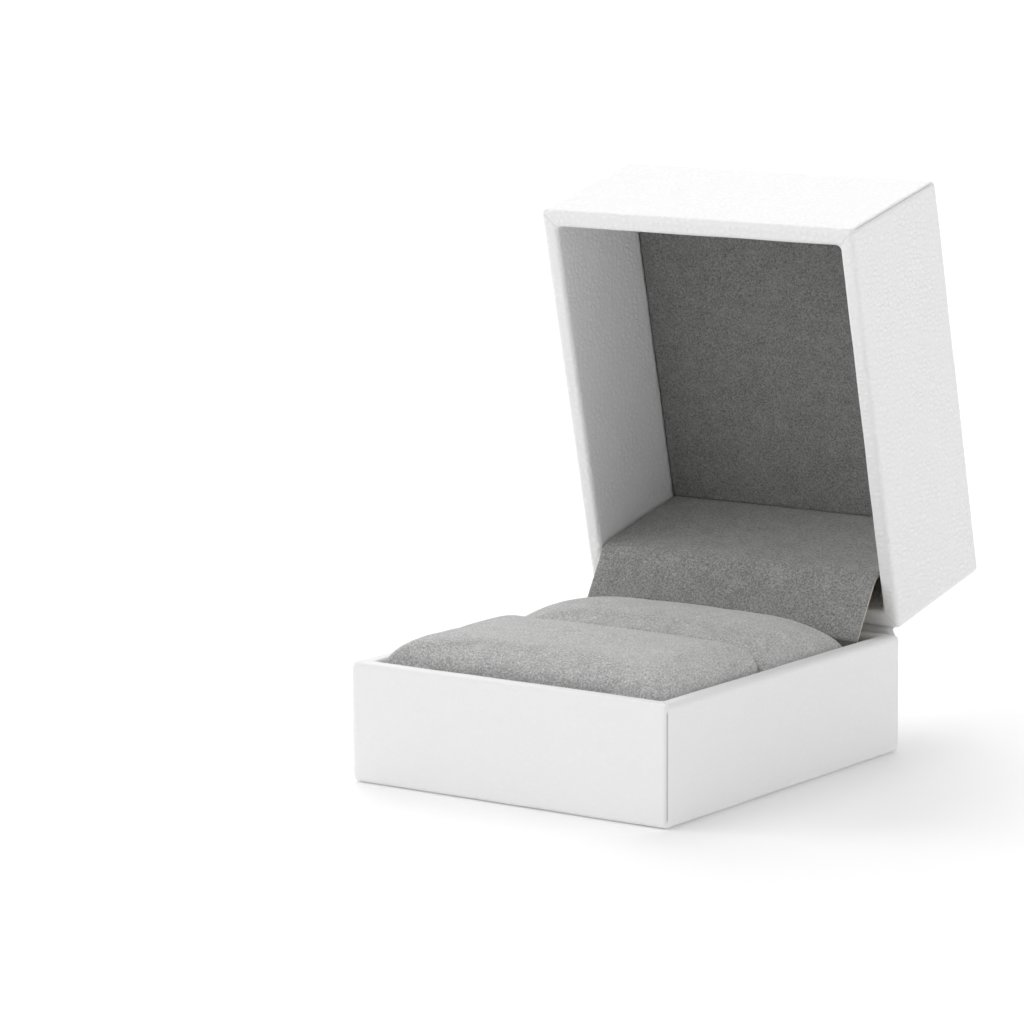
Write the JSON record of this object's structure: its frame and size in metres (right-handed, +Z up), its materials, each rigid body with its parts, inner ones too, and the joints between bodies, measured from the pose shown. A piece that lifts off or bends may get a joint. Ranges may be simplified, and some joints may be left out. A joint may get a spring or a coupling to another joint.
{
  "type": "jewelry gift box",
  "caption": "Hinged ring box wrapped in white grained paper, shown open: suede-lined lid, suede hinge flap over a snap hinge, and a padded base with a ring slit.",
  "frame": {"origin": "middle of the underside of the base, on the surface the box stands on", "axes": "+X along the hinge, to the right seen from the front; +Y from the front to the hinge side; +Z up. The lid is open in the rest pose."},
  "size_m": [0.054, 0.0835, 0.0829],
  "materials": {
    "greyboard": "matte",
    "lining_card": "matte",
    "kraft_tape": "matte",
    "grained_paper": "satin",
    "bottom_paper": "matte",
    "foam": "matte",
    "pad_suede": "matte",
    "liner_suede": "matte",
    "hinge_steel": "satin",
    "spring_steel": "satin"
  },
  "bodies": {
    "base": {"base_board": "greyboard", "base_corner_stays": "kraft_tape", "base_wrap": "grained_paper", "base_bottom_sheet": "bottom_paper", "insert_card": "lining_card", "front_foam": "foam", "rear_foam": "foam", "front_pad_cover": "pad_suede", "rear_pad_cover": "pad_suede", "hinge_base_leaf": "hinge_steel", "hinge_base_pin": "hinge_steel", "hinge_base_rivets": "hinge_steel", "hinge_paper": "grained_paper"},
    "lid": {"lid_board": "greyboard", "lid_corner_stays": "kraft_tape", "lid_wrap": "grained_paper", "lid_liner_card": "lining_card", "lid_liner_cloth": "liner_suede", "hinge_lid_leaf": "hinge_steel", "hinge_lid_pin": "hinge_steel", "hinge_lid_rivets": "hinge_steel", "flap_card_upper": "lining_card", "flap_cloth_upper": "liner_suede"},
    "lower_flap": {"flap_card_lower": "lining_card", "flap_cloth_lower": "liner_suede"},
    "snap_spring": {"hinge_spring": "spring_steel"}
  },
  "joints": [
    {"name": "lid_hinge", "type": "hinge", "parent": "base", "child": "lid", "pos_m": [0, 0.0306, 0.01828], "axis": [-1, 0, 0], "range_deg": [-77, 0], "deforming": ["hinge_paper"]},
    {"name": "flap_fold", "type": "hinge", "parent": "lid", "child": "lower_flap", "pos_m": [0, 0.0287, 0.02615], "axis": [-1, 0, 0], "range_deg": [0, 47]},
    {"name": "spring_pivot", "type": "hinge", "parent": "base", "child": "snap_spring", "pos_m": [0, 0.0271, 0.01228], "axis": [-1, 0, 0], "range_deg": [-38.5, 0]}
  ],
  "couplings": [
    {"joint": "flap_fold", "follows": "lid_hinge", "ratio": -0.61},
    {"joint": "spring_pivot", "follows": "lid_hinge", "ratio": 0.5}
  ]
}
